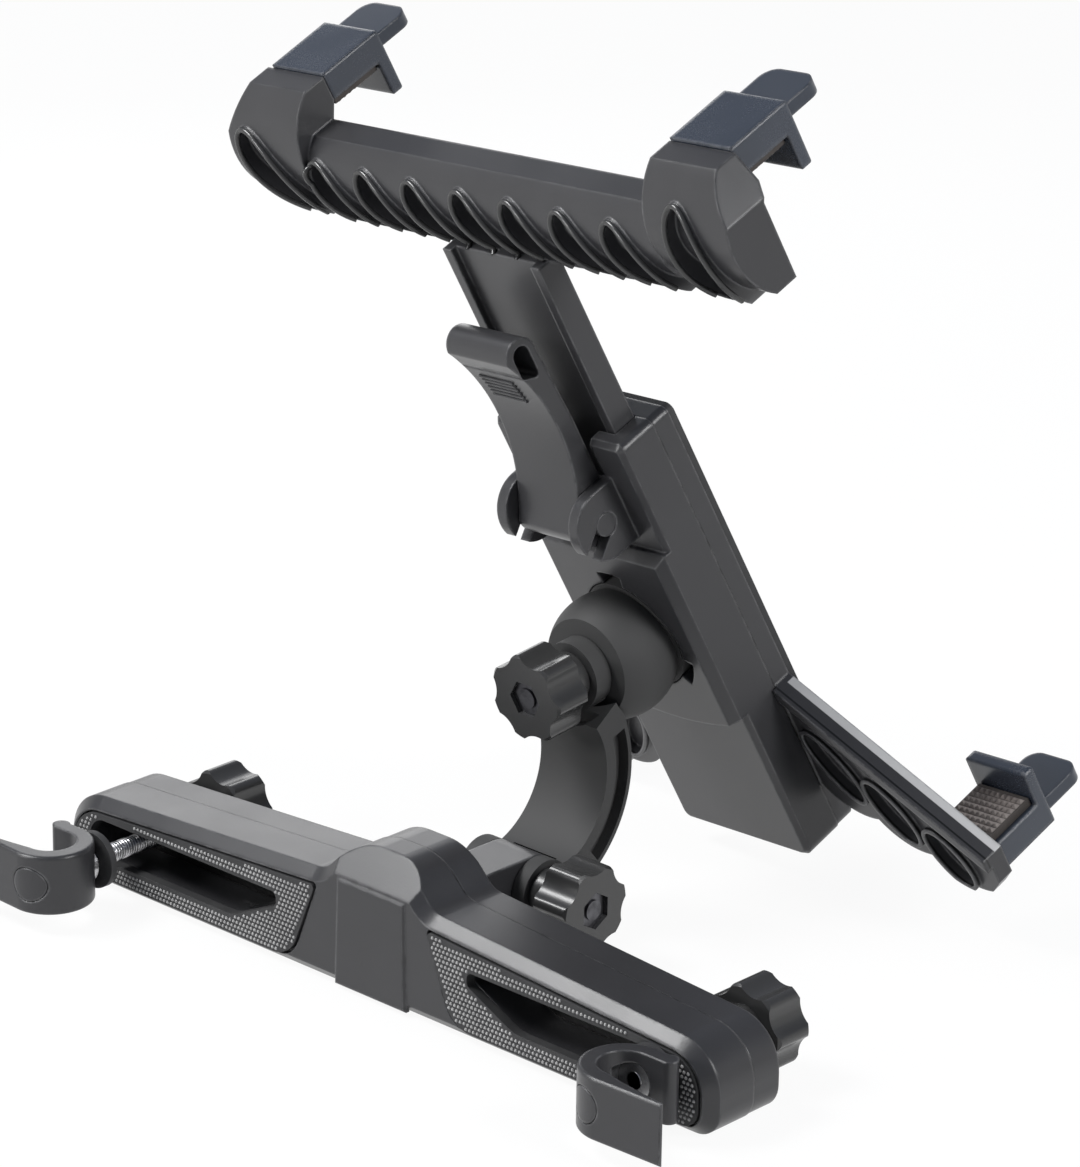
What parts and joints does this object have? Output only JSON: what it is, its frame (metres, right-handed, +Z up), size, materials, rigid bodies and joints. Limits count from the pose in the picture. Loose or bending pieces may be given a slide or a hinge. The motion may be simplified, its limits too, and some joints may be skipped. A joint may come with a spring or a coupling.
{
  "type": "headrest tablet holder",
  "caption": "Black headrest tablet holder: clamp bar with post hooks and star knobs, curved tilting arm, ball mount, and a sliding cradle with scalloped grips and edge clips.",
  "frame": {"origin": "middle of the clamp bar's underside, where the bar stands", "axes": "+X along the clamp bar, +Y from the headrest towards the tablet, +Z up along the headrest posts"},
  "size_m": [0.216, 0.2044, 0.2189],
  "materials": {
    "shell_plastic": "fine matt moulded",
    "satin_plastic": "satin moulded",
    "knob_plastic": "satin gloss moulded",
    "pad_rubber": "studded matt",
    "clip_rubber": "checkered matt",
    "bolt_steel": "zinc plated"
  },
  "bodies": {
    "bar": {"bar_front_shell": "shell_plastic", "bar_rear_shell": "shell_plastic", "left_grip_pad": "pad_rubber", "right_grip_pad": "pad_rubber", "bar_screws": "bolt_steel"},
    "right_hook_slider": {"right_hook_washer": "pad_rubber"},
    "right_hook_clamp": {"right_hook": "shell_plastic", "right_hook_plug": "shell_plastic", "right_hook_bolt": "bolt_steel"},
    "right_knob": {"right_hook_knob": "knob_plastic", "right_hook_nut": "bolt_steel"},
    "left_hook_slider": {"left_hook_washer": "pad_rubber"},
    "left_hook_clamp": {"left_hook": "shell_plastic", "left_hook_plug": "shell_plastic", "left_hook_bolt": "bolt_steel"},
    "left_knob": {"left_hook_knob": "knob_plastic", "left_hook_nut": "bolt_steel"},
    "arm": {"tilt_arm": "satin_plastic", "tilt_bolt": "bolt_steel"},
    "tilt_knob": {"tilt_knob": "knob_plastic", "tilt_nut": "bolt_steel"},
    "ball": {"ball_mount": "satin_plastic", "ball_bolt": "bolt_steel"},
    "ball_knob": {"ball_knob": "knob_plastic", "ball_nut": "bolt_steel"},
    "cradle": {"back_cover": "shell_plastic", "front_cover": "shell_plastic", "front_pad": "pad_rubber", "cover_screws": "bolt_steel"},
    "lever": {"slide_lever": "shell_plastic"},
    "grip": {"upper_grip": "shell_plastic"},
    "upper_right_clip": {"upper_right_clip": "satin_plastic", "upper_right_clip_pad": "clip_rubber"},
    "upper_left_clip": {"upper_left_clip": "satin_plastic", "upper_left_clip_pad": "clip_rubber"},
    "lower_right_clip": {"lower_right_clip": "satin_plastic", "lower_right_clip_pad": "clip_rubber"},
    "lower_left_clip": {"lower_left_clip": "satin_plastic", "lower_left_clip_pad": "clip_rubber"}
  },
  "joints": [
    {"name": "right_hook_slide", "type": "slide", "parent": "bar", "child": "right_hook_slider", "axis": [1, 0, 0], "range_m": [-0.044, 0.0034]},
    {"name": "right_hook_turn", "type": "hinge", "parent": "right_hook_slider", "child": "right_hook_clamp", "pos_m": [0.088, -0.0145, 0.0124], "axis": [0, 1, 0], "range_deg": [-90, 90]},
    {"name": "right_knob_turn", "type": "hinge", "parent": "right_hook_clamp", "child": "right_knob", "pos_m": [0.088, 0.012, 0.0124], "axis": [0, 1, 0], "continuous": true},
    {"name": "left_hook_slide", "type": "slide", "parent": "bar", "child": "left_hook_slider", "axis": [1, 0, 0], "range_m": [-0.0074, 0.04]},
    {"name": "left_hook_turn", "type": "hinge", "parent": "left_hook_slider", "child": "left_hook_clamp", "pos_m": [-0.084, -0.0222, 0.0124], "axis": [0, 1, 0], "range_deg": [-90, 90]},
    {"name": "left_knob_turn", "type": "hinge", "parent": "left_hook_clamp", "child": "left_knob", "pos_m": [-0.084, 0.012, 0.0124], "axis": [0, 1, 0], "continuous": true},
    {"name": "arm_tilt", "type": "hinge", "parent": "bar", "child": "arm", "pos_m": [0, 0.0355, 0.016], "axis": [1, 0, 0], "range_deg": [-40, 40]},
    {"name": "tilt_knob_turn", "type": "hinge", "parent": "arm", "child": "tilt_knob", "pos_m": [0, 0.0355, 0.016], "axis": [1, 0, 0], "continuous": true},
    {"name": "ball_turn", "type": "hinge", "parent": "arm", "child": "ball", "pos_m": [0, 0.0691, 0.0636], "axis": [0, 0.9951, 0.0993], "range_deg": [-90, 90]},
    {"name": "ball_knob_turn", "type": "hinge", "parent": "ball", "child": "ball_knob", "pos_m": [0, 0.0691, 0.0636], "axis": [0, -0.9951, -0.0993], "continuous": true},
    {"name": "cradle_swivel", "type": "hinge", "parent": "ball", "child": "cradle", "pos_m": [0, 0.0691, 0.0636], "axis": [0.0646, 0.901, 0.4289], "continuous": true},
    {"name": "lever_open", "type": "hinge", "parent": "cradle", "child": "lever", "pos_m": [-0.00521, 0.05724, 0.10071], "axis": [0.9878, -0.1187, 0.1007], "range_deg": [0, 80]},
    {"name": "grip_slide", "type": "slide", "parent": "cradle", "child": "grip", "axis": [-0.1417, -0.4172, 0.8977], "range_m": [-0.04, 0.03]},
    {"name": "upper_right_clip_slide", "type": "slide", "parent": "grip", "child": "upper_right_clip", "axis": [0.0646, 0.901, 0.4289], "range_m": [0, 0.01]},
    {"name": "upper_left_clip_slide", "type": "slide", "parent": "grip", "child": "upper_left_clip", "axis": [0.0646, 0.901, 0.4289], "range_m": [0, 0.01]},
    {"name": "lower_right_clip_slide", "type": "slide", "parent": "cradle", "child": "lower_right_clip", "axis": [0.0646, 0.901, 0.4289], "range_m": [0, 0.012]},
    {"name": "lower_left_clip_slide", "type": "slide", "parent": "cradle", "child": "lower_left_clip", "axis": [0.0646, 0.901, 0.4289], "range_m": [0, 0.012]}
  ]
}
